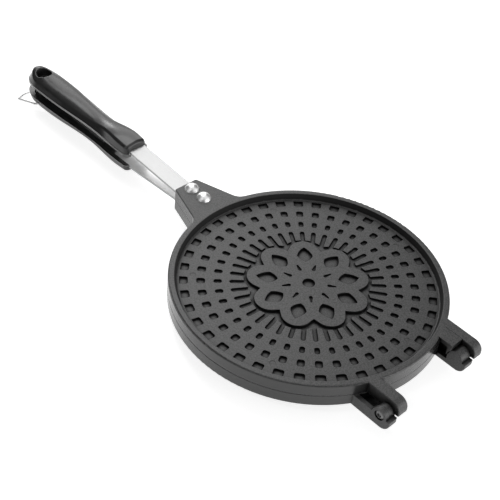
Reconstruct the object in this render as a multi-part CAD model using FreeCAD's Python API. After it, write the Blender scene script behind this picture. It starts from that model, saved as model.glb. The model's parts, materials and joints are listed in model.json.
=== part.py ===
import FreeCAD, Part
import math
import os

from FreeCAD import Vector

os.makedirs("parts", exist_ok=True)

# Cast plate, measured from the parting plane outward
plate_radius = 100.0
plate_height = 9.6
rim_top_width = 3.4
rim_edge_round = 1.2
rim_wall_run = 1.5
rim_foot_round = 1.3
rim_crest_round = 0.5
parting_bevel = 0.35
floor_depth = 5.1
batter_depth = 1.2
batter_edge = 5.5
root_overlap = 2.6
parting_gap = 0.15

# Pattern, drawn for a floor of this radius and scaled with the floor
pattern_field = 93.9
ray_count = 40
outer_ring_radius = 89.5
outer_dimple_length = 7.4
outer_dimple_width = 7.4
outer_dimple_round = 1.6
middle_ring_radius = 76.7
middle_dimple_length = 6.2
middle_dimple_width = 5.4
inner_ring_radius = 64.7
inner_dimple_length = 6.0
inner_dimple_width = 3.9
dimple_round = 1.7
dimple_depth = 1.6
bar_width = 3.5
bar_end_radius = 56.4
boss_height = 0.8
petal_count = 9
petal_tip_radius = 44.4
petal_lobe_round = 10.9
petal_valley_radius = 35.5
rosette_rise = 0.8
moat_depth = 1.4
moat_lobe_centre = 28.2
moat_lobe_radius = 18.4
leaf_tip_radius = 37.8
leaf_widest_radius = 28.7
leaf_root_radius = 22.1
leaf_half_width = 5.8
leaf_bulge = 0.9
leaf_depth = 2.1
dash_inner_radius = 14.6
dash_outer_radius = 19.2
dash_inner_round = 1.35
dash_outer_round = 0.65
dash_depth = 1.2
hub_radius = 4.6
mark_count = 5
mark_radius = 2.2
mark_circle_radius = 82.2
mark_start_angle = 45.6
mark_depth = 0.15

# Handle tab, strap and rivets
tab_length = 34.2
tab_step = 0.05
tab_cheek = 2.5
tab_side_angle = 17.6
tab_root_round = 9.0
tab_corner_round = 1.5
tab_edge_round = 0.9
strap_half_width = 7.6
strap_thickness = 2.0
strap_root_gap = 5.0
strap_flat_end = 2.8
strap_run = 56.2
strap_socket = 21.8
strap_rise = 3.4
strap_side_gap = 0.4
strap_corner_round = 4.5
rivet_inset = 7.5
rivet_pitch = 13.7
rivet_shank_radius = 2.5
rivet_head_radius = 5.8
rivet_head_height = 4.2
rivet_tail_radius = 4.2
rivet_tail_height = 1.3
rivet_tail_room = 1.3
fixed_gap = 0.03

# Grip, along X from its front face or its round end
grip_length = 141.2
grip_block_length = 13.8
grip_shoulder_length = 21.8
grip_waist_length = 43.8
grip_tail_length = 20.4
grip_cheek = 3.5
grip_block_swell = 0.3
grip_waist_half_width = 10.8
grip_tail_half_width = 13.5
grip_under_strap = 1.2
grip_land = 0.8
grip_lip = 0.5
grip_block_rise = 6.2
grip_waist_rise = 3.5
grip_tail_rise = 5.5
grip_front_fall = 0.4
grip_shoulder_fall = 0.2
grip_end_fall = 0.4
grip_block_lean = 0.2
grip_block_crown = 28.0
upper_waist_lean = 0.68
upper_tail_lean = 0.5
upper_end_lean = 0.3
upper_handle_crown = 17.0
lower_handle_lean = 0.1
lower_handle_crown = 32.0
grip_edge_round = 3.2
grip_corner_round = 4.0
hollow_front_wall = 11.0
hollow_end_wall = 32.4
hollow_half_width = 5.2
hollow_depth = 3.6
hollow_round = 4.2
hang_hole_radius = 6.5
hang_hole_end_wall = 8.4
hang_hole_round = 0.7
hang_boss_wall = 2.2
hang_boss_gap = 0.4
fit_gap = 0.3
screw_inset = 12.8
screw_radius = 2.0
screw_head_radius = 3.8
screw_head_height = 1.0
screw_reach = 4.2

# Hinge
pin_offset = 10.4
pin_radius = 2.5
pin_running_gap = 0.05
pin_head_lip = 0.9
pin_head_height = 0.9
pin_dimple_radius = 1.7
pin_dimple_depth = 1.2
pin_recess_gap = 0.35
pin_end_wall = 1.5
arm_inner_y = 30.3
narrow_arm_width = 9.2
wide_arm_width = 8.3
arm_side_gap = 0.6
arm_root_y = 29.0
arm_tip_wall = 3.0
arm_tip_round = 7.0
arm_wall = 3.2
arm_floor = 4.2
arm_edge_round = 0.8
arm_rim_gap = 0.6
knuckle_wall = 3.3
cheek_step = 0.35
notch_gap = 0.6
notch_offset = 3.9

# Wire bail
wire_radius = 0.85
bail_hole_wall = 2.0
bail_rise = 2.9
bail_side_gap = 0.5
bail_stub = 7.0
bail_end_gap = 5.6
bail_bow = 6.0
bail_bow_half_width = 5.5
bail_bend = 2.4
bail_bow_bend = 9.0
bail_droop = 19.0
bail_hole_gap = 0.06

# Places that follow from the sizes above
cut_over = 1.0
floor_z = plate_height - floor_depth
batter_radius = plate_radius - batter_edge
rim_inner_top = plate_radius - rim_edge_round - rim_top_width
rim_foot_radius = rim_inner_top - rim_wall_run
pattern_scale = rim_foot_radius / pattern_field
strap_low_z = rivet_tail_room + rivet_tail_height + strap_thickness
strap_high_z = strap_low_z + strap_rise
tab_end_x = plate_radius + tab_length
tab_top = plate_height - tab_step
tab_end_half_width = strap_half_width + strap_side_gap + tab_cheek
rivet_x = (tab_end_x - rivet_inset, tab_end_x - rivet_inset - rivet_pitch)
strap_start_x = plate_radius + strap_root_gap
strap_bend_x = tab_end_x + strap_flat_end
grip_front_x = strap_bend_x + strap_run
strap_end_x = grip_front_x + strap_socket
screw_x = grip_front_x + screw_inset
grip_block_x = grip_front_x + grip_block_length
grip_shoulder_x = grip_front_x + grip_shoulder_length
grip_waist_x = grip_front_x + grip_waist_length
grip_end_x = grip_front_x + grip_length
grip_tail_x = grip_end_x - grip_tail_length
grip_front_half_width = strap_half_width + fit_gap + grip_cheek
grip_block_half_width = grip_front_half_width + grip_block_swell
grip_underside = strap_high_z - strap_thickness - grip_under_strap
grip_block_top = strap_high_z + grip_block_rise
grip_waist_top = strap_high_z + grip_waist_rise
grip_tail_top = strap_high_z + grip_tail_rise
hollow_start_x = strap_end_x + hollow_front_wall
hollow_end_x = grip_end_x - hollow_end_wall
hang_hole_x = grip_end_x - hang_hole_end_wall - hang_hole_radius
pin_x = -plate_radius - pin_offset
pin_head_radius = pin_radius + pin_head_lip
knuckle_radius = pin_radius + knuckle_wall
arm_tip_reach = knuckle_radius + arm_tip_wall
arm_middle_y = arm_inner_y + narrow_arm_width
arm_outer_y = arm_middle_y + wide_arm_width
bail_x = hang_hole_x - hang_hole_radius - bail_hole_wall
bail_height = grip_underside + grip_land + bail_rise
bail_half_width = grip_tail_half_width + grip_lip + bail_side_gap + wire_radius
bail_leg = grip_end_x - bail_x + bail_end_gap
X_AXIS = Vector(1, 0, 0)
Y_AXIS = Vector(0, 1, 0)
Z_AXIS = Vector(0, 0, 1)
ORIGIN = Vector(0, 0, 0)


def point(r, degrees, z=0.0):
    a = math.radians(degrees)
    return Vector(r * math.cos(a), r * math.sin(a), z)


def line(a, b):
    return Part.LineSegment(a, b).toShape()


def arc(a, b, c):
    return Part.Arc(a, b, c).toShape()


def prism(wire, z0, z1):
    face = Part.Face(wire)
    face.translate(Vector(0, 0, z0))
    return face.extrude(Vector(0, 0, z1 - z0))


def motif(wire, z0, z1):
    """Pattern outline, scaled with the plate's floor and drawn out along Z."""
    outline = wire.copy()
    outline.scale(pattern_scale)
    return prism(outline, z0, z1)


def circle(radius, x=0.0):
    return Part.Wire(Part.makeCircle(radius, Vector(x, 0, 0), Z_AXIS))


def box(x0, x1, y0, y1, z0, z1):
    return Part.makeBox(x1 - x0, y1 - y0, z1 - z0, Vector(x0, y0, z0))


def rod_y(radius, y0, y1, x=0.0, z=0.0):
    return Part.makeCylinder(radius, y1 - y0, Vector(x, y0, z), Y_AXIS)


def rod_z(radius, z0, z1, x=0.0, y=0.0):
    return Part.makeCylinder(radius, z1 - z0, Vector(x, y, z0), Z_AXIS)


def dome(radius, height, base, axis):
    """Spherical cap that stands on base and rises along axis."""
    ball_radius = (radius * radius + height * height) / (2 * height)
    sunk = ball_radius - height
    latitude = math.degrees(math.asin(sunk / ball_radius))
    return Part.makeSphere(ball_radius, base - axis * sunk, axis, latitude, 90, 360)


def turned(shape, degrees):
    copy = shape.copy()
    copy.rotate(ORIGIN, Z_AXIS, degrees)
    return copy


def rays(shape):
    step = 360.0 / ray_count
    return [turned(shape, (k + 0.5) * step) for k in range(ray_count)]


def petals(shape, phase=0.0):
    step = 360.0 / petal_count
    return [turned(shape, (k + phase) * step) for k in range(petal_count)]


def merged(shapes):
    return shapes[0].multiFuse(shapes[1:])


def rounded_rectangle(cx, length, width, corner):
    x0 = cx - length / 2
    x1 = cx + length / 2
    y1 = width / 2
    bend = corner * (1 - math.sqrt(0.5))
    edges = []
    corners = ((x1, y1, 1, 1), (x0, y1, -1, 1), (x0, -y1, -1, -1), (x1, -y1, 1, -1))
    ends = []
    for x, y, sx, sy in corners:
        along = Vector(x - sx * corner, y, 0)
        across = Vector(x, y - sy * corner, 0)
        middle = Vector(x - sx * bend, y - sy * bend, 0)
        first, last = (across, along) if sx * sy > 0 else (along, across)
        edges.append(arc(first, middle, last))
        ends.append((first, last))
    for k in range(4):
        a = ends[k][1]
        b = ends[(k + 1) % 4][0]
        if a.distanceToPoint(b) > 1e-6:
            edges.append(line(a, b))
    return Part.Wire(Part.__sortEdges__(edges))


def slot(x0, x1, half_width):
    """Bar along X with a round end at x1."""
    a = Vector(x0, -half_width, 0)
    b = Vector(x1 - half_width, -half_width, 0)
    c = Vector(x1 - half_width, half_width, 0)
    d = Vector(x0, half_width, 0)
    return Part.Wire([line(a, b), arc(b, Vector(x1, 0, 0), c), line(c, d), line(d, a)])


def rosette_wire():
    half_step = 180.0 / petal_count
    centre = Vector(petal_tip_radius - petal_lobe_round, 0, 0)
    valley = point(petal_valley_radius, half_step)
    reach = valley - centre
    turn = math.acos(petal_lobe_round / reach.Length)
    angle = math.atan2(reach.y, reach.x) - turn
    touch = centre + Vector(math.cos(angle), math.sin(angle), 0) * petal_lobe_round
    mirror = Vector(touch.x, -touch.y, 0)
    low_valley = point(petal_valley_radius, -half_step)
    lobe = [line(low_valley, mirror)]
    lobe.append(arc(mirror, Vector(petal_tip_radius, 0, 0), touch))
    lobe.append(line(touch, valley))
    edges = []
    for k in range(petal_count):
        edges.extend(turned(edge, k * 2 * half_step) for edge in lobe)
    return Part.Wire(Part.__sortEdges__(edges))


def leaf_wire():
    tip = Vector(leaf_tip_radius, 0, 0)
    root = Vector(leaf_root_radius, 0, 0)
    edges = []
    for side in (1, -1):
        wide = Vector(leaf_widest_radius, side * leaf_half_width, 0)
        for end in (tip, root):
            middle = (end + wide) * 0.5
            normal = Vector(-(wide.y - end.y), wide.x - end.x, 0).normalize()
            if normal.y * side < 0:
                normal = normal * -1
            edges.append(arc(end, middle + normal * leaf_bulge, wide))
    return Part.Wire(Part.__sortEdges__(edges))


def dash_wire():
    a = Vector(dash_inner_radius, -dash_inner_round, 0)
    b = Vector(dash_outer_radius, -dash_outer_round, 0)
    c = Vector(dash_outer_radius, dash_outer_round, 0)
    d = Vector(dash_inner_radius, dash_inner_round, 0)
    outer = Vector(dash_outer_radius + dash_outer_round, 0, 0)
    inner = Vector(dash_inner_radius - dash_inner_round, 0, 0)
    return Part.Wire([line(a, b), arc(b, outer, c), line(c, d), arc(d, inner, a)])


def moat_and_bars(z0, z1):
    lobe = motif(circle(moat_lobe_radius, moat_lobe_centre), z0, z1)
    middle = motif(circle(moat_lobe_centre), z0, z1)
    bar = motif(slot(leaf_tip_radius, bar_end_radius, bar_width / 2), z0, z1)
    return merged(petals(lobe) + [middle] + rays(bar))


def dimples(z0, z1):
    outlines = [
        rounded_rectangle(outer_ring_radius, outer_dimple_length, outer_dimple_width, outer_dimple_round),
        rounded_rectangle(middle_ring_radius, middle_dimple_length, middle_dimple_width, dimple_round),
        rounded_rectangle(inner_ring_radius, inner_dimple_length, inner_dimple_width, dimple_round),
    ]
    cells = []
    for outline in outlines:
        cells.extend(rays(motif(outline, z0, z1)))
    return cells


def patterned_web():
    """Disc that carries the pattern: sunk on the outside, raised on the cooking face."""
    rosette_top = floor_z + rosette_rise
    boss_face = batter_depth - boss_height
    rosette_face = batter_depth + rosette_rise
    over = floor_z + cut_over
    over_rosette = rosette_top + cut_over
    web = rod_z(batter_radius, batter_depth, floor_z)
    web = web.cut(Part.makeCompound(dimples(floor_z - dimple_depth, over)))
    web = web.cut(moat_and_bars(floor_z - moat_depth, over))
    web = web.fuse(motif(rosette_wire(), floor_z - moat_depth, rosette_top))
    sunk = petals(motif(leaf_wire(), rosette_top - leaf_depth, over_rosette))
    sunk += petals(motif(dash_wire(), rosette_top - dash_depth, over_rosette), 0.5)
    sunk.append(motif(circle(hub_radius), rosette_top - leaf_depth, over_rosette))
    mark = motif(circle(mark_radius, mark_circle_radius), floor_z - mark_depth, over)
    for k in range(mark_count):
        sunk.append(turned(mark, mark_start_angle + k * 360.0 / mark_count))
    web = web.cut(Part.makeCompound(sunk))
    web = web.fuse(dimples(boss_face, batter_depth))
    web = web.fuse(moat_and_bars(boss_face, batter_depth))
    web = web.cut(motif(rosette_wire(), boss_face - cut_over, rosette_face))
    raised = petals(motif(leaf_wire(), rosette_face - boss_height, rosette_face))
    raised += petals(motif(dash_wire(), rosette_face - boss_height, rosette_face), 0.5)
    raised.append(motif(circle(hub_radius), rosette_face - boss_height, rosette_face))
    return web.fuse(raised)


def rim_ring():
    lean = math.atan2(rim_wall_run, floor_depth)
    drop = math.sqrt(0.5)
    top = plate_height
    foot_reach = rim_foot_round * math.tan((math.pi / 2 - lean) / 2)
    crest_reach = rim_crest_round * math.tan((math.pi / 2 - lean) / 2)
    up = Vector(math.sin(lean), 0, math.cos(lean))
    foot_corner = Vector(rim_foot_radius, 0, floor_z)
    crest_corner = Vector(rim_inner_top, 0, top)
    a = foot_corner + Vector(-foot_reach, 0, 0)
    b = foot_corner + up * foot_reach
    foot_centre = a + Vector(0, 0, rim_foot_round)
    foot_middle = foot_centre + (foot_corner - foot_centre).normalize() * rim_foot_round
    c = crest_corner - up * crest_reach
    d = crest_corner + Vector(crest_reach, 0, 0)
    crest_centre = d - Vector(0, 0, rim_crest_round)
    crest_middle = crest_centre + (crest_corner - crest_centre).normalize() * rim_crest_round
    e = Vector(plate_radius - rim_edge_round, 0, top)
    edge_centre = e - Vector(0, 0, rim_edge_round)
    f_middle = edge_centre + Vector(drop, 0, drop) * rim_edge_round
    f = Vector(plate_radius, 0, top - rim_edge_round)
    g = Vector(plate_radius, 0, parting_bevel)
    bevel_end = Vector(plate_radius - parting_bevel, 0, 0)
    h = Vector(batter_radius, 0, 0)
    inside = Vector(a.x - cut_over, 0, floor_z)
    k = Vector(batter_radius, 0, batter_depth)
    m = Vector(inside.x, 0, batter_depth)
    edges = [line(inside, a), arc(a, foot_middle, b), line(b, c), arc(c, crest_middle, d)]
    edges += [line(d, e), arc(e, f_middle, f), line(f, g), line(g, bevel_end)]
    edges += [line(bevel_end, h), line(h, k), line(k, m), line(m, inside)]
    return Part.Face(Part.Wire(edges)).revolve(ORIGIN, Z_AXIS, 360)


def tab():
    slope = math.radians(tab_side_angle)
    corner = Vector(tab_end_x, tab_end_half_width, 0)
    along = Vector(-math.cos(slope), math.sin(slope), 0)
    out = Vector(math.sin(slope), math.cos(slope), 0)
    start = corner + out * tab_root_round
    reach = plate_radius + tab_root_round
    half_b = start.dot(along)
    run = -half_b - math.sqrt(half_b * half_b - start.dot(start) + reach * reach)
    centre = start + along * run
    t1 = centre - out * tab_root_round
    t2 = centre * (plate_radius / reach)
    middle = centre + ((t1 + t2) * 0.5 - centre).normalize() * tab_root_round
    root = t2 * ((plate_radius - root_overlap) / plate_radius)

    def flip(p):
        return Vector(p.x, -p.y, 0)

    edges = [line(flip(corner), corner), line(corner, t1), arc(t1, middle, t2)]
    edges += [line(t2, root), line(root, flip(root)), line(flip(root), flip(t2))]
    edges += [arc(flip(t2), flip(middle), flip(t1)), line(flip(t1), flip(corner))]
    solid = prism(Part.Wire(edges), parting_gap, tab_top)
    posts = [e for e in solid.Edges if e.BoundBox.ZLength > tab_top / 2]
    posts = [e for e in posts if abs(e.BoundBox.XMin - tab_end_x) < 1e-6]
    solid = solid.makeFillet(tab_corner_round, posts)
    crest = [e for e in solid.Edges if e.BoundBox.ZMin > tab_top - 1e-6]
    crest = [e for e in crest if e.BoundBox.XMax > t2.x + 1e-3]
    solid = solid.makeFillet(tab_edge_round, crest)
    solid = solid.cut(rod_z(plate_radius - root_overlap, -cut_over, plate_height + cut_over))
    side = strap_half_width + strap_side_gap
    back = strap_start_x - strap_side_gap
    channel = box(back, tab_end_x + cut_over, -side, side, -cut_over, strap_low_z)
    return solid.cut(channel)


def arm_profile(x_end, y0, y1):
    """Arm from inside the rim to its rounded tip, seen from the side and drawn out along Y."""
    root = -math.sqrt((plate_radius - root_overlap) ** 2 - arm_outer_y ** 2)
    tip = x_end
    top = plate_height
    low = parting_gap
    bend = arm_tip_round * (1 - math.sqrt(0.5))
    a = Vector(root, y0, low)
    b = Vector(root, y0, top)
    c = Vector(tip + arm_tip_round, y0, top)
    middle = Vector(tip + bend, y0, top - bend)
    d = Vector(tip, y0, top - arm_tip_round)
    e = Vector(tip, y0, low)
    wire = Part.Wire([line(a, b), line(b, c), arc(c, middle, d), line(d, e), line(e, a)])
    return Part.Face(wire).extrude(Vector(0, y1 - y0, 0))


def softened(arm):
    """Rounds the upper edges along the arm and down its tip."""
    crest = []
    for e in arm.Edges:
        across = e.BoundBox.YLength > 1e-6
        under = e.BoundBox.ZMax < plate_height / 2 and e.BoundBox.ZLength < 1e-6
        root = e.BoundBox.XMin > -plate_radius
        if not (across or under or root):
            crest.append(e)
    return arm.makeFillet(arm_edge_round, crest)


def hinge_arms():
    tip = pin_x - arm_tip_reach
    keep_out = rod_z(plate_radius - root_overlap, -2 * plate_height, 2 * plate_height)
    shell = rod_z(plate_radius + arm_rim_gap, -2 * plate_height, 2 * plate_height)
    narrow_end = arm_middle_y - arm_side_gap / 2
    wide_start = arm_middle_y + arm_side_gap / 2
    hollow_top = plate_height - arm_wall
    narrow = softened(arm_profile(tip, arm_inner_y, narrow_end))
    room = pin_x + knuckle_radius + notch_gap
    inside = arm_root_y - cut_over
    hollow = box(room, 0, inside, narrow_end - arm_wall, -cut_over, plate_height - arm_floor)
    narrow = narrow.cut(hollow.cut(shell)).cut(keep_out)
    narrow = narrow.fuse(rod_y(knuckle_radius, arm_inner_y, narrow_end, pin_x))
    outer = softened(arm_profile(tip, -arm_outer_y, -wide_start))
    inner = arm_profile(tip, -wide_start, -arm_root_y)
    notch_x = pin_x + notch_offset
    inner = inner.cut(box(tip - cut_over, notch_x, -wide_start, 0, -cut_over, plate_height + cut_over))
    wide = outer.fuse(inner)
    cheek_inside = -(arm_outer_y - arm_wall)
    hollow = box(notch_x + arm_wall, 0, cheek_inside, -inside, -cut_over, hollow_top)
    wide = wide.cut(hollow.cut(shell)).cut(keep_out)
    wide = wide.cut(rod_y(knuckle_radius + notch_gap, -wide_start, 0, pin_x))
    wide = wide.fuse(rod_y(knuckle_radius, -arm_outer_y, cheek_inside, pin_x))
    wide = wide.fuse(rod_y(knuckle_radius - cheek_step, cheek_inside, -wide_start, pin_x))
    recess = pin_head_radius + pin_recess_gap
    far = arm_outer_y + cut_over
    wide = wide.cut(rod_y(recess, -far, -arm_outer_y + pin_head_height, pin_x))
    bore_radius = pin_radius + pin_running_gap
    blind_bore = rod_y(bore_radius, arm_inner_y + pin_end_wall, far, pin_x)
    through_bore = rod_y(bore_radius, -far, 0, pin_x)
    return [narrow.cut(blind_bore), wide.cut(through_bore)]


def plate():
    body = merged([rim_ring(), tab()] + hinge_arms()).removeSplitter()
    for x in rivet_x:
        hole = rod_z(rivet_shank_radius + fixed_gap, -cut_over, plate_height + cut_over, x)
        body = body.cut(hole)
    return body.fuse(patterned_web()).removeSplitter()


def strap():
    top = [Vector(strap_start_x, 0, strap_low_z), Vector(strap_bend_x, 0, strap_low_z)]
    top += [Vector(grip_front_x, 0, strap_high_z), Vector(strap_end_x, 0, strap_high_z)]
    low = [p - Vector(0, 0, strap_thickness) for p in reversed(top)]
    outline = top + low
    wire = Part.makePolygon(outline + outline[:1])
    band = Part.Face(wire).extrude(Vector(0, 2 * strap_half_width, 0))
    band.translate(Vector(0, -strap_half_width, 0))
    middle_x = (strap_start_x + strap_end_x) / 2
    length = strap_end_x - strap_start_x
    plan = rounded_rectangle(middle_x, length, 2 * strap_half_width, strap_corner_round)
    band = band.common(prism(plan, 0, 2 * plate_height))
    for x in rivet_x:
        band = band.cut(rod_z(rivet_shank_radius + fixed_gap, 0, plate_height, x))
    return band.cut(rod_z(screw_radius + fixed_gap, 0, 2 * plate_height, screw_x))


def rivet(x):
    under = strap_low_z - strap_thickness
    shank = rod_z(rivet_shank_radius, under, tab_top, x)
    head = dome(rivet_head_radius, rivet_head_height, Vector(x, 0, tab_top), Z_AXIS)
    tail = dome(rivet_tail_radius, rivet_tail_height, Vector(x, 0, under), Z_AXIS * -1)
    return merged([shank, head, tail])


def screw():
    under = strap_high_z - strap_thickness
    shank = rod_z(screw_radius, under, strap_high_z + screw_reach, screw_x)
    head = dome(screw_head_radius, screw_head_height, Vector(screw_x, 0, under), Z_AXIS * -1)
    return shank.fuse(head)


def grip_outline(z, rise, leans, spread=0.0):
    """Plan of the grip at one rise of its leaning walls: square front, waisted sides, round end."""
    waist_lean, tail_lean, end_lean = leans
    corner = grip_corner_round
    bend = corner * (1 - math.sqrt(0.5))
    front_x = grip_front_x + rise * grip_block_lean - spread
    end_x = grip_end_x - rise * end_lean + spread
    front = grip_front_half_width - rise * grip_block_lean + spread
    block = grip_block_half_width - rise * grip_block_lean + spread
    waist = grip_waist_half_width - rise * waist_lean + spread
    tail = grip_tail_half_width - rise * tail_lean + spread
    side = [
        Vector(front_x + corner, front, z),
        Vector(grip_block_x, block, z),
        Vector((grip_shoulder_x + grip_waist_x) / 2, (block + 2 * waist) / 3, z),
        Vector(grip_waist_x, waist, z),
        Vector((grip_waist_x + grip_tail_x) / 2, (waist + 2 * tail) / 3, z),
        Vector(grip_tail_x, tail, z),
    ]
    edges = [line(Vector(front_x, corner - front, z), Vector(front_x, front - corner, z))]
    for hand in (1, -1):
        run = [Vector(p.x, hand * p.y, z) for p in side]
        curve = Part.BSplineCurve()
        curve.interpolate(Points=run, InitialTangent=X_AXIS, FinalTangent=X_AXIS)
        edges.append(curve.toShape())
        start = Vector(front_x, hand * (front - corner), z)
        edges.append(arc(start, Vector(front_x + bend, hand * (front - bend), z), run[0]))
    stretch = FreeCAD.Matrix()
    stretch.scale(end_x - grip_tail_x, tail, 1.0)
    stretch.move(Vector(grip_tail_x, 0, z))
    edges.append(Part.makeCircle(1.0, ORIGIN, Z_AXIS, -90, 90).transformGeometry(stretch))
    return Part.Wire(Part.__sortEdges__(edges))


def under_the_back(handle_crown):
    """Everything under the grip's saddle-shaped, crowned back."""
    overrun = 5.0 * cut_over
    block_end_x = (grip_shoulder_x + grip_waist_x) / 2
    middle_x = (grip_waist_x + grip_tail_x) / 2
    slope_top = (grip_block_top + grip_waist_top) / 2
    slope_crown = (grip_block_crown + handle_crown) / 2
    ridge = [
        (grip_front_x - overrun, grip_block_top - grip_front_fall, grip_block_crown),
        (grip_block_x, grip_block_top, grip_block_crown),
        (grip_shoulder_x, grip_block_top - grip_shoulder_fall, grip_block_crown),
        (block_end_x, slope_top, slope_crown),
        (grip_waist_x, grip_waist_top, handle_crown),
        (middle_x, (grip_waist_top + grip_tail_top) / 2, handle_crown),
        (grip_tail_x, grip_tail_top, handle_crown),
        (grip_end_x + overrun, grip_tail_top - grip_end_fall, handle_crown),
    ]
    half = grip_tail_half_width + overrun
    rows = []
    for x, z, crown in ridge:
        row = []
        for k in range(-4, 5):
            y = half * k / 4
            row.append(Vector(x, y, z - y * y / (2 * crown)))
        rows.append(row)
    back = Part.BSplineSurface()
    back.interpolate(rows)
    return back.toShape().extrude(Vector(0, 0, -2 * grip_block_top))


def grip_blank(leans, handle_crown):
    shoulder = grip_underside + grip_land
    crown = grip_block_top + 2 * cut_over
    rise = crown - grip_underside
    wall = [grip_outline(grip_underside, 0, leans), grip_outline(crown, rise, leans)]
    body = Part.makeLoft(wall, True, True).common(under_the_back(handle_crown))
    crest = [e for e in body.Edges if e.BoundBox.ZMin > shoulder]
    body = body.makeFillet(grip_edge_round, crest)
    body = body.fuse(prism(grip_outline(0, 0, leans, grip_lip), grip_underside, shoulder))
    return body.fuse(rod_z(hang_hole_radius + hang_boss_wall, hang_boss_gap, shoulder, hang_hole_x))


def grip(leans, handle_crown):
    """Grip moulding: the upper one has a round back, the lower one square sides."""
    body = grip_blank(leans, handle_crown)
    body = body.cut(rod_z(hang_hole_radius, 0, 2 * grip_block_top, hang_hole_x))
    lip = [e for e in body.Edges if is_hole_edge(e)]
    body = body.makeFillet(hang_hole_round, lip)
    mouth_x = strap_bend_x
    mouth_end_x = strap_end_x + fit_gap
    mouth_width = 2 * (strap_half_width + fit_gap)
    mouth_round = strap_corner_round + fit_gap
    middle_x = (mouth_x + mouth_end_x) / 2
    mouth = rounded_rectangle(middle_x, mouth_end_x - mouth_x, mouth_width, mouth_round)
    body = body.cut(prism(mouth, 0, strap_high_z))
    middle_x = (hollow_start_x + hollow_end_x) / 2
    length = hollow_end_x - hollow_start_x
    hollow = rounded_rectangle(middle_x, length, 2 * hollow_half_width, hollow_round)
    body = body.cut(prism(hollow, 0, grip_underside + hollow_depth))
    return body.cut(rod_z(screw_radius + fixed_gap, 0, strap_high_z + screw_reach + fit_gap, screw_x))


def is_hole_edge(edge):
    """True for an edge that runs round a mouth of the hanging hole."""
    around = [math.hypot(p.x - hang_hole_x, p.y) for p in edge.discretize(9)]
    upright = edge.BoundBox.ZLength > hang_hole_radius / 2
    return not upright and all(abs(r - hang_hole_radius) < 0.01 for r in around)


def bail_path():
    """Wire line of the bail lying flat, its pivot line on the Y axis."""
    corners = [Vector(0, bail_half_width - bail_stub, 0), Vector(0, bail_half_width, 0)]
    corners += [Vector(bail_leg, bail_half_width, 0)]
    corners += [Vector(bail_leg + bail_bow, bail_bow_half_width, 0)]
    corners += [Vector(p.x, -p.y, 0) for p in reversed(corners)]
    bends = [0, bail_bend, bail_bend, bail_bow_bend]
    bends += list(reversed(bends))
    edges = []
    last = corners[0]
    for k in range(1, len(corners) - 1):
        here = corners[k]
        back = (corners[k - 1] - here).normalize()
        on = (corners[k + 1] - here).normalize()
        half = back.getAngle(on) / 2
        cut_back = bends[k] / math.tan(half)
        start = here + back * cut_back
        end = here + on * cut_back
        inward = (back + on).normalize()
        middle = here + inward * (bends[k] / math.sin(half) - bends[k])
        edges += [line(last, start), arc(start, middle, end)]
        last = end
    edges.append(line(last, corners[-1]))
    return Part.Wire(edges)


def bail():
    path = bail_path()
    start = path.OrderedVertexes[0].Point
    section = Part.Wire(Part.makeCircle(wire_radius, start, Y_AXIS))
    loop = path.makePipeShell([section], True, False)
    loop.rotate(ORIGIN, Y_AXIS, bail_droop)
    loop.translate(bail_pivot)
    return loop


def hinge_pin(hand):
    """Pin through the outer knuckle into the inner one; hand is the side of the plate it stands on."""
    outer = arm_outer_y - pin_head_height
    shank = rod_y(pin_radius, arm_inner_y + pin_end_wall + fit_gap, outer, pin_x)
    head = dome(pin_head_radius, pin_head_height, Vector(pin_x, outer, 0), Y_AXIS)
    pin = shank.fuse(head)
    pin = pin.cut(rod_y(pin_dimple_radius, arm_outer_y - pin_dimple_depth, arm_outer_y, pin_x))
    if hand < 0:
        pin.rotate(ORIGIN, X_AXIS, 180)
    pin.translate(Vector(0, 0, plate_height))
    return pin


def as_upper(shape):
    moved = shape.copy()
    moved.translate(Vector(0, 0, plate_height))
    return moved


def as_lower(shape):
    moved = shape.copy()
    moved.rotate(ORIGIN, X_AXIS, 180)
    moved.translate(Vector(0, 0, plate_height))
    return moved


bail_pivot = Vector(bail_x, 0, plate_height - bail_height)
casting = plate()
handle_strap = strap()
round_grip = grip((upper_waist_lean, upper_tail_lean, upper_end_lean), upper_handle_crown)
square_grip = grip((lower_handle_lean,) * 3, lower_handle_crown)
grip_screw = screw()
rivets = [rivet(x) for x in rivet_x]
bail_hole = wire_radius + bail_hole_gap
bail_bore = rod_y(bail_hole, -bail_half_width, bail_half_width, bail_x, bail_pivot.z)
inner_reach = bail_half_width - bail_stub - fit_gap
bail_core = rod_y(2 * bail_hole, -inner_reach, inner_reach, bail_x, bail_pivot.z)

shapes = {
    "upper_plate": as_upper(casting),
    "lower_plate": as_lower(casting),
    "upper_strap": as_upper(handle_strap),
    "lower_strap": as_lower(handle_strap),
    "upper_grip": as_upper(round_grip),
    "lower_grip": as_lower(square_grip).cut(bail_bore.cut(bail_core)),
    "upper_grip_screw": as_upper(grip_screw),
    "lower_grip_screw": as_lower(grip_screw),
    "hinge_pin_near": hinge_pin(1),
    "hinge_pin_far": hinge_pin(-1),
    "wire_bail": bail(),
}
for number, piece in enumerate(rivets, 1):
    shapes["upper_rivet_%d" % number] = as_upper(piece)
    shapes["lower_rivet_%d" % number] = as_lower(piece)

for name, shape in shapes.items():
    solid = shape.Solids[0]
    solid.exportStep("parts/%s.step" % name)
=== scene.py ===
import json
import math

import bpy
from mathutils import Matrix, Vector


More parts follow.
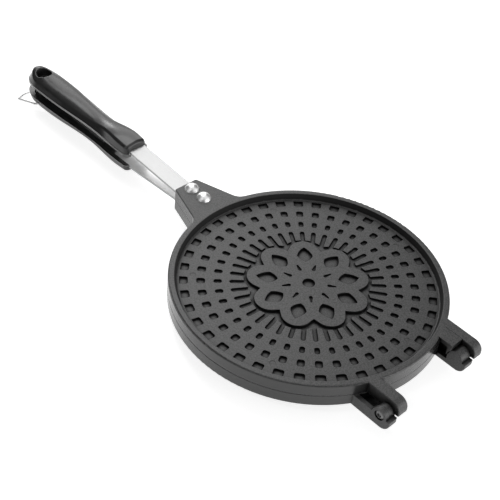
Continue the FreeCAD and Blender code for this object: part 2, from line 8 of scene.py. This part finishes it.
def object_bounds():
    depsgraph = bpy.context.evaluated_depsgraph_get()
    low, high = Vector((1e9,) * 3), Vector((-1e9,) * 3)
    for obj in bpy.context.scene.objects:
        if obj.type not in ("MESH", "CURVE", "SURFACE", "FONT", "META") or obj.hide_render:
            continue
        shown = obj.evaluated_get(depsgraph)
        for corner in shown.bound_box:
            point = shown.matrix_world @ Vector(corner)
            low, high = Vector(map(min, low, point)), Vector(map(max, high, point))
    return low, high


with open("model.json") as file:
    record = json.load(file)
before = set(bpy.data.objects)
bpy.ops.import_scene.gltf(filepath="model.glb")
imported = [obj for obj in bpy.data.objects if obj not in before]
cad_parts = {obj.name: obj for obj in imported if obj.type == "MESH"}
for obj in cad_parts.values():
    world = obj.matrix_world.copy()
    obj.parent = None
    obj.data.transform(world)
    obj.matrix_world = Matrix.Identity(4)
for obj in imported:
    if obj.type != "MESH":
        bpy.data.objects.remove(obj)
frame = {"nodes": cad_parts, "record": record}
cad_low, cad_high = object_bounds()

MM = 0.001

# Camera of the photograph, in metres
CAMERA_PLACE = Vector((-0.340939, 0.440963, 0.532434))
CAMERA_RIGHT = Vector((-0.683050, -0.725131, 0.087335))
CAMERA_UP = Vector((0.529632, -0.409424, 0.742874))
CAMERA_LENS = 77.052
SENSOR_WIDTH = 36.0

# Stage
FLOOR_GAP = 0.3 * MM
FLOOR_SIZE = 12.0
FLOOR_WHITE = 0.82
FLOOR_LIFT = 0.8
AIM = Vector((0.06, 0.0, 0.01))
WORLD_FILL = 0.3
WORLD_WHITE = 1.0

# Dark curtains, by the azimuths that they hang between
CURTAINS = {
    "curtain_left": (-5.0, 65.0),
    "curtain_camera": (103.0, 158.0),
    "curtain_right": (-112.0, -62.0),
}
CURTAIN_STEPS = 12
CURTAIN_RADIUS = 1.7
CURTAIN_HEIGHT = 2.6
CURTAIN_GREY = 0.05
CURTAIN_ROUGH = 0.9

# Lamps, with angles in degrees and sizes in metres; radiance 1 is a white surface in full light
LAMPS = {
    "key": dict(azimuth=-28, elevation=58, distance=1.2, width=0.7, height=0.75, radiance=3.2),
    "key_low": dict(azimuth=-38, elevation=27, distance=1.3, width=0.7, height=0.5, radiance=1.3),
    "spark": dict(azimuth=100, elevation=48, distance=0.7, width=0.08, height=0.08, radiance=12.0),
    "low_back": dict(azimuth=-20, elevation=20, distance=1.3, width=0.3, height=0.25, radiance=6.5),
    "right": dict(azimuth=-165, elevation=10, distance=1.3, width=1.3, height=0.44, radiance=3.5),
}

# Places on the object that the finishes and the painted light and shade follow
LIP_LOW = 14.4 * MM
LIP_HIGH = 15.25 * MM
PARTING = 9.6 * MM
WALL_RADIUS = 98.0 * MM
ARM_RADIUS = 101.0 * MM

# How the masks read a surface: each pair gives where the mask is 0 and where it is 1
UPRIGHT = (0.75, 0.4)
EDGE_BEND = (0.995, 0.86)
SHELTERED = (0.94, 0.62)
NOISE_RANGE = (0.3, 0.7)
EDGE_SAMPLES = 4
SHELTER_SAMPLES = 8

# Sockets of the mix node when it mixes colours
MIX_FACTOR = 0
MIX_A = 6
MIX_B = 7
MIX_RESULT = 2


class Tree:
    """Node tree of one material or world, with short ways to add and join nodes."""

    def __init__(self, owner):
        owner.use_nodes = True
        self.tree = owner.node_tree
        self.tree.nodes.clear()

    def node(self, kind, inputs=None, **settings):
        made = self.tree.nodes.new(kind)
        for name, value in settings.items():
            setattr(made, name, value)
        for name, value in (inputs or {}).items():
            self.feed(made.inputs[name], value)
        return made

    def feed(self, socket, value):
        if isinstance(value, bpy.types.NodeSocket):
            self.tree.links.new(value, socket)
        else:
            socket.default_value = value

    def math(self, operation, a, b=0.0, clamp=False):
        made = self.node("ShaderNodeMath", {0: a, 1: b}, operation=operation, use_clamp=clamp)
        return made.outputs[0]

    def times(self, a, b):
        return self.math("MULTIPLY", a, b)

    def ramp(self, value, low, high, to_low=0.0, to_high=1.0):
        inputs = {"Value": value, "From Min": low, "From Max": high, "To Min": to_low, "To Max": to_high}
        return self.node("ShaderNodeMapRange", inputs).outputs["Result"]

    def spread(self, noise, to_low=0.0, to_high=1.0):
        """Noise stretched from its usual range to this one."""
        return self.ramp(noise, *NOISE_RANGE, to_low, to_high)

    def mix(self, factor, a, b):
        made = self.node("ShaderNodeMix", data_type="RGBA")
        self.feed(made.inputs[MIX_FACTOR], factor)
        self.feed(made.inputs[MIX_A], a)
        self.feed(made.inputs[MIX_B], b)
        return made.outputs[MIX_RESULT]

    def along(self, axis, vector):
        return self.node("ShaderNodeSeparateXYZ", {0: vector}).outputs[axis]

    def place(self):
        """Place on the object, in metres along the object's own axes."""
        return self.node("ShaderNodeTexCoord").outputs["Object"]

    def stretched(self, scale):
        """Place on the object with each axis scaled."""
        return self.node("ShaderNodeMapping", {"Vector": self.place(), "Scale": scale}).outputs["Vector"]

    def slope(self):
        """How far a face looks up, from -1 to 1 along the object's own Z."""
        return self.along("Z", self.node("ShaderNodeTexCoord").outputs["Normal"])

    def noise(self, spot, size, detail=3.0, rough=0.55):
        """Noise whose features are about this size, in metres."""
        inputs = {"Vector": spot, "Scale": 1.0 / size, "Detail": detail, "Roughness": rough}
        return self.node("ShaderNodeTexNoise", inputs).outputs["Fac"]

    def dots(self, spot, size):
        """Distance to the nearest of scattered points that lie about this far apart, in metres."""
        return self.node("ShaderNodeTexVoronoi", {"Vector": spot, "Scale": 1.0 / size}).outputs["Distance"]

    def walls(self):
        """Masks of the plates' turned outside with the tabs, of the walls inside the rim, and of the arms."""
        flat = {0: self.place(), 1: (1.0, 1.0, 0.0)}
        across = self.node("ShaderNodeVectorMath", flat, operation="MULTIPLY").outputs[0]
        reach = self.node("ShaderNodeVectorMath", {0: across}, operation="LENGTH").outputs["Value"]
        upright = self.ramp(self.math("ABSOLUTE", self.slope()), *UPRIGHT)
        outside = self.ramp(reach, WALL_RADIUS - MM, WALL_RADIUS)
        beyond = self.ramp(reach, ARM_RADIUS, ARM_RADIUS + MM)
        arms = self.times(beyond, self.ramp(self.along("X", across), 0.0, -MM))
        turned = self.times(outside, self.math("SUBTRACT", 1.0, arms))
        inside = self.math("SUBTRACT", 1.0, outside)
        return self.times(upright, turned), self.times(upright, inside), arms

    def facing(self):
        """1 on faces that look toward the parting plane, 0 on the others."""
        below_parting = self.math("SUBTRACT", PARTING, self.along("Z", self.place()))
        return self.math("GREATER_THAN", self.times(self.slope(), below_parting), MM)

    def lip(self):
        """1 on the band at the open edge of either grip, 0 elsewhere."""
        height = self.along("Z", self.place())
        from_parting = self.math("ABSOLUTE", self.math("SUBTRACT", height, PARTING))
        past_low = self.math("GREATER_THAN", from_parting, LIP_LOW - PARTING)
        short_of_high = self.math("LESS_THAN", from_parting, LIP_HIGH - PARTING)
        return self.times(past_low, short_of_high)

    def bump(self, height, distance, strength, normal):
        inputs = {"Height": height, "Distance": distance, "Strength": strength, "Normal": normal}
        return self.node("ShaderNodeBump", inputs).outputs["Normal"]

    def edges(self, radius):
        """Normal softened near edges, and how much of an edge there is."""
        soft = self.node("ShaderNodeBevel", {"Radius": radius}, samples=EDGE_SAMPLES).outputs["Normal"]
        true = self.node("ShaderNodeNewGeometry").outputs["Normal"]
        likeness = self.node("ShaderNodeVectorMath", {0: soft, 1: true}, operation="DOT_PRODUCT")
        return soft, self.ramp(likeness.outputs["Value"], *EDGE_BEND)

    def shelter(self, distance, own_walls=True):
        """How deep in a corner or recess a place lies: 0 in the open, 1 where walls close it in."""
        settings = {"samples": SHELTER_SAMPLES, "only_local": own_walls}
        open_sky = self.node("ShaderNodeAmbientOcclusion", {"Distance": distance}, **settings)
        return self.ramp(open_sky.outputs["AO"], *SHELTERED)

    def surface(self, **inputs):
        shader = self.node("ShaderNodeBsdfPrincipled")
        for name, value in inputs.items():
            self.feed(shader.inputs[name.replace("_", " ")], value)
        self.output(shader.outputs["BSDF"], "ShaderNodeOutputMaterial")

    def output(self, shader, kind):
        self.tree.links.new(shader, self.node(kind).inputs["Surface"])

    def seen_directly(self):
        """1 for rays of the camera and for rays that metal or glass sends on, 0 for the light itself."""
        path = self.node("ShaderNodeLightPath")
        shown = self.math("MAXIMUM", path.outputs["Is Camera Ray"], path.outputs["Is Glossy Ray"])
        return self.math("MAXIMUM", shown, path.outputs["Is Transmission Ray"])


def grey(level, warmth=0.0):
    return (level * (1 + warmth), level, level * (1 - warmth), 1.0)


# Coating of the castings
COAT_DARK = grey(0.028)
COAT_LIGHT = grey(0.037)
COAT_CLOUD_SIZE = 38 * MM
COAT_GRAIN_GREY = grey(0.1)
COAT_GRAIN_RANGE = (0.35, 0.65)
COAT_GRAIN_SIZE = 0.9 * MM
COAT_GRAIN_HEIGHT = 0.09 * MM
COAT_GRAIN_STRENGTH = 0.9
COAT_FLECK_GREY = grey(0.12)
COAT_FLECK_RANGE = (0.16, 0.05)
COAT_FLECK_AMOUNT = 0.35
COAT_FLECK_SIZE = 1.0 * MM
COAT_PEBBLE_SIZE = 2.6 * MM
COAT_PEBBLE_HEIGHT = 0.05 * MM
COAT_PEBBLE_STRENGTH = 0.35
COAT_EDGE = 0.5 * MM
# Edges made lighter in patches, partly as rubbing wear and partly as painted highlight
COAT_WEAR_AND_HIGHLIGHT_GREY = grey(0.15)
COAT_WEAR_AND_HIGHLIGHT_RANGE = (0.3, 0.65)
COAT_WEAR_AND_HIGHLIGHT_AMOUNTS = (0.25, 0.6)
COAT_ROUGH = (0.4, 0.54)
COAT_SHEEN = 0.5
OUTER_WALL_GREY = grey(0.06)
OUTER_WALL_POLISH = 0.3
# Painted shade: the upright walls inside the rim are made near black
INNER_WALL_PAINTED_SHADE = grey(0.003)
INNER_WALL_SHADE_AMOUNT = 0.9
INNER_WALL_DULLING = 0.4
# Painted shade: darker wherever nearby walls close a place in, out to this reach
RECESS_PAINTED_SHADE = grey(0.012)
RECESS_SHADE_REACH = 14 * MM
# Painted shade: darker close in at the foot of walls and in tight corners, where the specular level also
# drops
CORNER_PAINTED_SHADE = grey(0.006)
CORNER_SHADE_AMOUNT = 0.8
CORNER_SHADE_REACH = 3 * MM
CORNER_SHEEN = 0.1
# Painted shade in the hinge arms' pockets, closed in by either plate
POCKET_PAINTED_SHADE = grey(0.008)
POCKET_SHADE_REACH = 16 * MM


def coated_casting():
    """Matte charcoal coating over cast metal: pebbled skin, faint flecks, edges lighter from rubbing and from
    painted highlight, and painted shade in recesses, corners, hinge pockets and on the walls inside the rim.
    """
    material = bpy.data.materials.new("coated_casting")
    t = Tree(material)
    spot = t.place()
    clouds = t.noise(spot, COAT_CLOUD_SIZE, detail=2.0)
    grain = t.noise(spot, COAT_GRAIN_SIZE, rough=0.65)
    flecks = t.ramp(t.dots(spot, COAT_FLECK_SIZE), *COAT_FLECK_RANGE, 0.0, COAT_FLECK_AMOUNT)
    soft, edge = t.edges(COAT_EDGE)
    # edge mask for wear and painted highlight
    wear = t.times(edge, t.ramp(clouds, *COAT_WEAR_AND_HIGHLIGHT_RANGE, *COAT_WEAR_AND_HIGHLIGHT_AMOUNTS))
    outer_wall, inner_wall, arms = t.walls()
    # mask of tight corners, used for painted shade and a lower specular level
    corner = t.shelter(CORNER_SHADE_REACH)
    pocket_shade = t.times(arms, t.shelter(POCKET_SHADE_REACH, own_walls=False))

    base = t.mix(t.spread(clouds), COAT_DARK, COAT_LIGHT)
    base = t.mix(t.ramp(grain, *COAT_GRAIN_RANGE), base, COAT_GRAIN_GREY)
    base = t.mix(flecks, base, COAT_FLECK_GREY)
    # lighter edges: wear and painted highlight
    base = t.mix(wear, base, COAT_WEAR_AND_HIGHLIGHT_GREY)
    base = t.mix(outer_wall, base, OUTER_WALL_GREY)
    # painted shade in recesses
    base = t.mix(t.shelter(RECESS_SHADE_REACH), base, RECESS_PAINTED_SHADE)
    # painted shade in tight corners
    base = t.mix(t.times(corner, CORNER_SHADE_AMOUNT), base, CORNER_PAINTED_SHADE)
    # painted shade on the upright walls inside the rim
    base = t.mix(t.times(inner_wall, INNER_WALL_SHADE_AMOUNT), base, INNER_WALL_PAINTED_SHADE)
    # painted shade in the hinge pockets
    base = t.mix(pocket_shade, base, POCKET_PAINTED_SHADE)

    rough = t.spread(grain, *COAT_ROUGH)
    rough = t.math("SUBTRACT", rough, t.times(outer_wall, OUTER_WALL_POLISH))
    rough = t.math("ADD", rough, t.times(inner_wall, INNER_WALL_DULLING), clamp=True)
    sheen = t.ramp(corner, 0.0, 1.0, COAT_SHEEN, CORNER_SHEEN)
    pebbles = t.noise(spot, COAT_PEBBLE_SIZE, detail=2.0)
    skin = t.bump(grain, COAT_GRAIN_HEIGHT, COAT_GRAIN_STRENGTH, soft)
    skin = t.bump(pebbles, COAT_PEBBLE_HEIGHT, COAT_PEBBLE_STRENGTH, skin)
    t.surface(Base_Color=base, Roughness=rough, Specular_IOR_Level=sheen, Normal=skin)
    return material


# Plastic of the grips
GRIP_DARK = grey(0.028)
GRIP_LIGHT = grey(0.036)
GRIP_HANDLED_RANGE = (0.35, 0.7)
GRIP_HANDLED_SIZE = 14 * MM
GRIP_SPECK_GREY = grey(0.06)
GRIP_SPECK_RANGE = (0.66, 0.75)
GRIP_SPECK_AMOUNT = 0.4
GRIP_SPECK_SIZE = 0.5 * MM
GRIP_SPECK_HEIGHT = 0.02 * MM
GRIP_SPECK_STRENGTH = 0.2
GRIP_RIPPLE_SIZE = 3.2 * MM
GRIP_RIPPLE_HEIGHT = 0.04 * MM
GRIP_RIPPLE_STRENGTH = 0.12
GRIP_EDGE = 0.4 * MM
# Painted highlight along the grips' edges
GRIP_EDGE_HIGHLIGHT_GREY = grey(0.08)
GRIP_EDGE_HIGHLIGHT_AMOUNT = 0.3
# Painted highlight: a pale band on the lip round the grips' open edge
GRIP_LIP_HIGHLIGHT_GREY = grey(0.3)
GRIP_ROUGH = (0.19, 0.26)


def grip_plastic():
    """Glossy black moulding with a faint ripple, a painted highlight as a paler band round its open edge, and
    painted highlights along its edges.
    """
    material = bpy.data.materials.new("grip_plastic")
    t = Tree(material)
    spot = t.place()
    handled = t.noise(spot, GRIP_HANDLED_SIZE, detail=4.0, rough=0.6)
    specks = t.noise(spot, GRIP_SPECK_SIZE, detail=2.0)
    ripples = t.noise(spot, GRIP_RIPPLE_SIZE, detail=2.0)
    soft, edge = t.edges(GRIP_EDGE)

    base = t.mix(t.ramp(handled, *GRIP_HANDLED_RANGE), GRIP_DARK, GRIP_LIGHT)
    base = t.mix(t.ramp(specks, *GRIP_SPECK_RANGE, 0.0, GRIP_SPECK_AMOUNT), base, GRIP_SPECK_GREY)
    # painted highlight along the edges
    base = t.mix(t.times(edge, GRIP_EDGE_HIGHLIGHT_AMOUNT), base, GRIP_EDGE_HIGHLIGHT_GREY)
    # painted highlight on the lip
    base = t.mix(t.lip(), base, GRIP_LIP_HIGHLIGHT_GREY)

    skin = t.bump(ripples, GRIP_RIPPLE_HEIGHT, GRIP_RIPPLE_STRENGTH, soft)
    skin = t.bump(specks, GRIP_SPECK_HEIGHT, GRIP_SPECK_STRENGTH, skin)
    t.surface(Base_Color=base, Roughness=t.spread(handled, *GRIP_ROUGH), Normal=skin)
    return material


# Steel of the straps
STRAP_DARK = grey(0.3)
STRAP_LIGHT = grey(0.36)
# Painted light: a brighter copy of the steel for the faces where the two straps face each other
STRAP_PAINTED_LIT_DARK = grey(0.68)
STRAP_PAINTED_LIT_LIGHT = grey(0.76)
STRAP_STRETCH = (1.0, 40.0, 40.0)
STRAP_LINE_SIZE = 9 * MM
STRAP_LINE_HEIGHT = 0.02 * MM
STRAP_LINE_STRENGTH = 0.25
STRAP_CLOUD_GREY = grey(0.28, warmth=0.01)
STRAP_CLOUD_RANGE = (0.55, 0.8)
STRAP_CLOUD_AMOUNT = 0.25
STRAP_CLOUD_SIZE = 12 * MM
STRAP_PIT_SIZE = 0.7 * MM
STRAP_PIT_HEIGHT = 0.02 * MM
STRAP_PIT_STRENGTH = 0.15
STRAP_EDGE = 0.3 * MM
STRAP_EDGE_GREY = grey(0.5)
STRAP_EDGE_AMOUNT = 0.3
STRAP_ROUGH = (0.28, 0.38)


def strap_steel():
    """Rolled strip with fine lines along it: dull outside, with painted light making it brighter where the
    two straps face each other.
    """
    material = bpy.data.materials.new("strap_steel")
    t = Tree(material)
    spot = t.place()
    lines = t.noise(t.stretched(STRAP_STRETCH), STRAP_LINE_SIZE, detail=4.0, rough=0.6)
    clouds = t.noise(spot, STRAP_CLOUD_SIZE)
    pits = t.noise(spot, STRAP_PIT_SIZE, detail=2.0)
    soft, edge = t.edges(STRAP_EDGE)

    painted_lit = t.mix(t.spread(lines), STRAP_PAINTED_LIT_DARK, STRAP_PAINTED_LIT_LIGHT)
    base = t.mix(t.spread(lines), STRAP_DARK, STRAP_LIGHT)
    base = t.mix(t.ramp(clouds, *STRAP_CLOUD_RANGE, 0.0, STRAP_CLOUD_AMOUNT), base, STRAP_CLOUD_GREY)
    # painted light on the faces that look toward the parting plane
    base = t.mix(t.facing(), base, painted_lit)
    base = t.mix(t.times(edge, STRAP_EDGE_AMOUNT), base, STRAP_EDGE_GREY)

    skin = t.bump(lines, STRAP_LINE_HEIGHT, STRAP_LINE_STRENGTH, soft)
    skin = t.bump(pits, STRAP_PIT_HEIGHT, STRAP_PIT_STRENGTH, skin)
    t.surface(Base_Color=base, Roughness=t.spread(lines, *STRAP_ROUGH), Normal=skin, Metallic=1.0)
    return material


# Small bare metal pieces
METALS = {
    "rivet_metal": dict(low=0.86, high=0.94, rough=(0.36, 0.46), mottle=3 * MM, wear=0.3),
    "screw_steel": dict(low=0.52, high=0.64, rough=(0.25, 0.35), mottle=2 * MM, wear=0.4),
    "pin_steel": dict(low=0.14, high=0.2, rough=(0.35, 0.48), mottle=2 * MM, wear=0.5),
    "bail_wire": dict(low=0.48, high=0.62, rough=(0.28, 0.4), mottle=4 * MM, wear=0.2),
}
METAL_EDGE = 0.25 * MM
METAL_EDGE_GAIN = 1.25
METAL_BRIGHTEST = 0.95
METAL_PIT_SHADE = 0.7
METAL_PIT_RANGE = (0.62, 0.75)
METAL_PIT_AMOUNT = 0.4
METAL_PIT_SIZE = 0.35 * MM
METAL_PIT_HEIGHT = 0.02 * MM
METAL_PIT_STRENGTH = 0.3


def bright_metal(name, low, high, rough, mottle, wear):
    """Bare metal with soft mottling of this size, fine pits and rubbed edges."""
    material = bpy.data.materials.new(name)
    t = Tree(material)
    spot = t.place()
    clouds = t.noise(spot, mottle)
    pits = t.noise(spot, METAL_PIT_SIZE, rough=0.6)
    soft, edge = t.edges(METAL_EDGE)
    pit_grey = grey(low * METAL_PIT_SHADE)
    edge_grey = grey(min(METAL_BRIGHTEST, high * METAL_EDGE_GAIN))

    base = t.mix(t.spread(clouds), grey(low), grey(high))
    base = t.mix(t.ramp(pits, *METAL_PIT_RANGE, 0.0, METAL_PIT_AMOUNT), base, pit_grey)
    base = t.mix(t.times(edge, wear), base, edge_grey)

    skin = t.bump(pits, METAL_PIT_HEIGHT, METAL_PIT_STRENGTH, soft)
    t.surface(Base_Color=base, Roughness=t.spread(clouds, *rough), Normal=skin, Metallic=1.0)
    return material


def finish_nodes():
    """Gives every CAD node the finish of its slot."""
    finishes = {
        "coated_casting": coated_casting(),
        "grip_plastic": grip_plastic(),
        "strap_steel": strap_steel(),
    }
    for slot, look in METALS.items():
        finishes[slot] = bright_metal(slot, **look)
    for part in frame["record"]["subparts"]:
        node = frame["nodes"][part["node"]]
        node.data.materials.clear()
        node.data.materials.append(finishes[part["material_slot"]])


def add_mesh(name, points, faces, material):
    mesh = bpy.data.meshes.new(name)
    mesh.from_pydata(points, [], faces)
    mesh.materials.append(material)
    thing = bpy.data.objects.new(name, mesh)
    bpy.context.scene.collection.objects.link(thing)
    return thing


def floor_white():
    """White paint that keeps a soft shadow, lifted to white for the camera and for reflections."""
    material = bpy.data.materials.new("floor_white")
    t = Tree(material)
    paint = t.node("ShaderNodeBsdfDiffuse", {"Color": grey(FLOOR_WHITE)}).outputs[0]
    strength = t.times(t.seen_directly(), FLOOR_LIFT)
    glow = t.node("ShaderNodeEmission", {"Strength": strength}).outputs[0]
    both = t.node("ShaderNodeAddShader", {0: paint, 1: glow}).outputs[0]
    t.output(both, "ShaderNodeOutputMaterial")
    return material


def make_floor(level):
    half = FLOOR_SIZE / 2
    corners = [(-half, -half, level), (half, -half, level), (half, half, level), (-half, half, level)]
    floor = add_mesh("floor", corners, [(0, 1, 2, 3)], floor_white())


def make_world():
    """White all round to look at, and a dim even fill as light."""
    world = bpy.data.worlds.new("studio")
    bpy.context.scene.world = world
    t = Tree(world)
    strength = t.ramp(t.seen_directly(), 0.0, 1.0, WORLD_FILL, WORLD_WHITE)
    t.output(t.node("ShaderNodeBackground", {"Strength": strength}).outputs[0], "ShaderNodeOutputWorld")


def toward(azimuth, elevation):
    a = math.radians(azimuth)
    e = math.radians(elevation)
    return Vector((math.cos(a) * math.cos(e), math.sin(a) * math.cos(e), math.sin(e)))


def curtain_cloth():
    material = bpy.data.materials.new("curtain_cloth")
    Tree(material).surface(Base_Color=grey(CURTAIN_GREY), Roughness=CURTAIN_ROUGH)
    return material


def make_curtain(name, start, end, level, cloth):
    """Dark curtain out of the picture, which keeps one side of the object dim."""
    points = []
    faces = []
    for k in range(CURTAIN_STEPS + 1):
        azimuth = start + (end - start) * k / CURTAIN_STEPS
        foot = AIM + toward(azimuth, 0) * CURTAIN_RADIUS
        points += [(foot.x, foot.y, level), (foot.x, foot.y, level + CURTAIN_HEIGHT)]
    for k in range(CURTAIN_STEPS):
        faces.append((2 * k, 2 * k + 2, 2 * k + 3, 2 * k + 1))
    curtain = add_mesh(name, points, faces, cloth)
    curtain.visible_camera = False
    curtain.visible_transmission = False
    curtain.visible_shadow = False


def make_stage():
    """Floor just under the object's lowest point, with the curtains standing on it."""
    level = cad_low.z - FLOOR_GAP
    make_floor(level)
    cloth = curtain_cloth()
    for name, (start, end) in CURTAINS.items():
        make_curtain(name, start, end, level, cloth)


def make_lamp(name, azimuth, elevation, distance, width, height, radiance):
    """Soft rectangular lamp aimed at the object."""
    way = toward(azimuth, elevation)
    lamp = bpy.data.lights.new(name, "AREA")
    lamp.shape = "RECTANGLE"
    lamp.size = width
    lamp.size_y = height
    lamp.energy = radiance * math.pi * width * height
    thing = bpy.data.objects.new(name, lamp)
    thing.location = AIM + way * distance
    thing.rotation_euler = (-way).to_track_quat("-Z", "Y").to_euler()
    bpy.context.scene.collection.objects.link(thing)


def make_camera():
    lens = bpy.data.cameras.new("camera")
    lens.sensor_width = SENSOR_WIDTH
    lens.lens = CAMERA_LENS
    camera = bpy.data.objects.new("camera", lens)
    back = CAMERA_RIGHT.cross(CAMERA_UP)
    turn = Matrix((CAMERA_RIGHT, CAMERA_UP, back)).transposed()
    camera.matrix_world = Matrix.Translation(CAMERA_PLACE) @ turn.to_4x4()
    bpy.context.scene.collection.objects.link(camera)
    bpy.context.scene.camera = camera


bpy.context.scene.view_settings.view_transform = "Standard"
make_camera()
make_world()
for lamp_name, lamp_values in LAMPS.items():
    make_lamp(lamp_name, **lamp_values)
make_stage()
finish_nodes()
